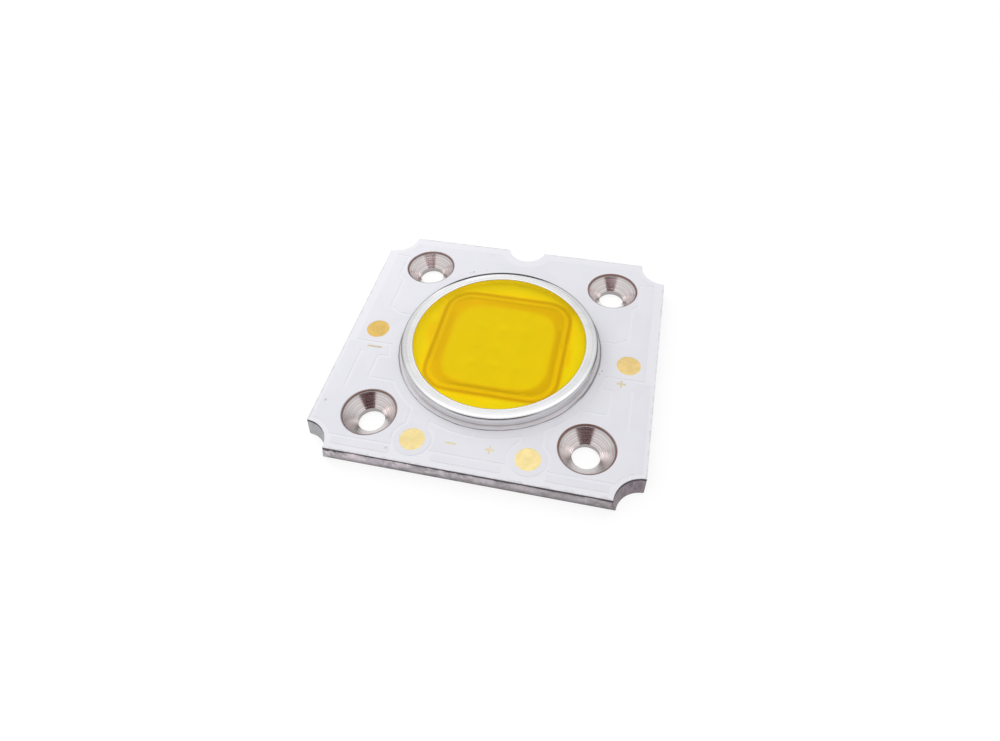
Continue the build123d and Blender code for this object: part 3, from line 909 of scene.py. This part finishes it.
class MODULE_OT_stage(Operator):
    """Set the camera, the soft light and the floor."""

    bl_idname = "led_module.stage"
    bl_label = "Stage"

    def add_camera(self, scene, stage):
        """Add the camera of the photograph."""
        data = bpy.data.cameras.new("camera")
        data.sensor_fit = "HORIZONTAL"
        data.sensor_width = 36.0
        data.lens = stage.lens
        data.clip_start = 0.001
        camera = bpy.data.objects.new("camera", data)
        camera.location = stage.camera_place
        camera.rotation_euler = stage.camera_turn
        scene.collection.objects.link(camera)
        scene.camera = camera

    def add_patch(self, tree, aim, middle, reach, core, outside, inside):
        """Socket of a value that changes in a round patch of the studio, with its two radii in degrees."""
        facing = dot_product(tree, aim, Vector(middle).normalized())
        start = math.cos(math.radians(reach))
        end = math.cos(math.radians(core))
        return remap(tree, facing, start, end, outside, inside)

    def add_world(self, scene, stage):
        """Add a light box for the reflections, which the camera itself sees as plain white."""
        world = bpy.data.worlds.new("studio")
        scene.world = world
        world.use_nodes = True
        tree = world.node_tree
        tree.nodes.clear()
        aim = add_node(tree, "ShaderNodeTexCoord").outputs["Generated"]
        height = split(tree, aim)["Z"]
        walls = remap(tree, height, *ROOF_BAND, stage.wall_strength, stage.roof_strength)
        ceiling = remap(tree, height, *CEILING_BAND, 0.0, stage.roof_strength - stage.ceiling_strength)
        flat = stretch(tree, aim, (1.0, 1.0, 0.0))
        level = add_node(tree, "ShaderNodeVectorMath", {0: flat}, operation="NORMALIZE").outputs[0]
        hole = product(tree, remap(tree, height, *OPENING_SILL), remap(tree, height, *OPENING_HEAD),
                       self.add_patch(tree, level, **OPENING))
        opening = compute(tree, "SUBTRACT", 1.0, hole)
        seam = self.add_patch(tree, aim, **SEAM)
        panel = self.add_patch(tree, aim, **PANEL)
        glint = self.add_patch(tree, aim, **GLINT)
        panels = compute(tree, "ADD", panel, glint)
        lit = compute(tree, "SUBTRACT", compute(tree, "ADD", walls, panels), ceiling)
        strength = product(tree, opening, seam, lit)
        tone = blend_colours(tree, opening, OPENING_TONE, WHITE)
        sky = add_node(tree, "ShaderNodeBackground", {"Color": tone, "Strength": strength})
        white = add_node(tree, "ShaderNodeBackground", {"Color": WHITE, "Strength": 1.0})
        seen = add_node(tree, "ShaderNodeLightPath").outputs["Is Camera Ray"]
        surface = add_node(tree, "ShaderNodeMixShader", {
            0: seen, 1: sky.outputs["Background"], 2: white.outputs["Background"]})
        add_node(tree, "ShaderNodeOutputWorld", {"Surface": surface.outputs[0]})

    def add_lamp(self, scene, name, power, size, location):
        """Add a soft lamp aimed at the module, left out of the reflections."""
        data = bpy.data.lights.new(name, "AREA")
        data.shape = "DISK"
        data.size = size
        data.energy = power
        lamp = bpy.data.objects.new(name, data)
        lamp.location = location
        lamp.rotation_euler = (-lamp.location).to_track_quat("-Z", "Y").to_euler()
        lamp.visible_glossy = False
        scene.collection.objects.link(lamp)

    def add_floor(self, scene, stage):
        """Add a pale floor that is seen as almost white and lights the module as a matt one."""
        mesh = bpy.data.meshes.new("floor")
        reach = 3.0
        shape = bmesh.new()
        bmesh.ops.create_grid(shape, x_segments=8, y_segments=8, size=reach)
        shape.to_mesh(mesh)
        shape.free()
        material, tree, _ = new_material("studio_floor")
        matt = add_node(tree, "ShaderNodeBsdfDiffuse", {"Color": rgba(stage.floor_colour)})
        pale = add_node(tree, "ShaderNodeBsdfDiffuse", {"Color": rgba(stage.floor_colour, 0.30)})
        glow = add_node(tree, "ShaderNodeEmission", {"Color": WHITE, "Strength": 0.80})
        white = add_node(tree, "ShaderNodeAddShader", {
            0: pale.outputs["BSDF"], 1: glow.outputs["Emission"]})
        path = add_node(tree, "ShaderNodeLightPath").outputs
        mirrored = compute(tree, "MAXIMUM", path["Is Glossy Ray"], path["Is Transmission Ray"])
        seen = compute(tree, "MAXIMUM", path["Is Camera Ray"], mirrored)
        surface = add_node(tree, "ShaderNodeMixShader", {
            0: seen, 1: matt.outputs["BSDF"], 2: white.outputs[0]})
        add_node(tree, "ShaderNodeOutputMaterial", {"Surface": surface.outputs[0]})
        mesh.materials.append(material)
        floor = bpy.data.objects.new("floor", mesh)
        scene.collection.objects.link(floor)

    def execute(self, context):
        scene = context.scene
        stage = scene.module_stage
        scene.view_settings.view_transform = "Standard"
        self.add_camera(scene, stage)
        self.add_world(scene, stage)
        self.add_lamp(scene, "key_lamp", stage.key_power, size=0.08, location=(-0.085, 0.065, 0.062))
        self.add_lamp(scene, "fill_lamp", stage.fill_power, size=0.20, location=(-0.02, 0.02, 0.25))
        self.add_floor(scene, stage)
        return {"FINISHED"}


STEPS = (
    MODULE_OT_effects,
    MODULE_OT_board,
    MODULE_OT_gold,
    MODULE_OT_dies,
    MODULE_OT_ring,
    MODULE_OT_adhesive,
    MODULE_OT_gel,
    MODULE_OT_stage,
)


class MODULE_PT_panel(Panel):
    """Lists the steps that dress the module."""

    bl_idname = "MODULE_PT_panel"
    bl_label = "LED module"
    bl_space_type = "VIEW_3D"
    bl_region_type = "UI"
    bl_category = "LED module"

    def draw(self, context):
        for step in STEPS:
            self.layout.operator(step.bl_idname)


SETTINGS = {
    "module_board": BoardSettings,
    "module_ring": RingSettings,
    "module_gel": GelSettings,
    "module_stage": StageSettings,
}


def register():
    for cls in (*SETTINGS.values(), *STEPS, MODULE_PT_panel):
        bpy.utils.register_class(cls)
    for name, group in SETTINGS.items():
        setattr(bpy.types.Scene, name, PointerProperty(type=group))


def unregister():
    for name in SETTINGS:
        delattr(bpy.types.Scene, name)
    for cls in (MODULE_PT_panel, *reversed(STEPS), *SETTINGS.values()):
        bpy.utils.unregister_class(cls)


def main():
    """Dress the module step by step."""
    register()
    bpy.ops.led_module.effects()
    bpy.ops.led_module.board()
    bpy.ops.led_module.gold()
    bpy.ops.led_module.dies()
    bpy.ops.led_module.ring()
    bpy.ops.led_module.adhesive()
    bpy.ops.led_module.gel()
    bpy.ops.led_module.stage()


if __name__ == "__main__":
    main()
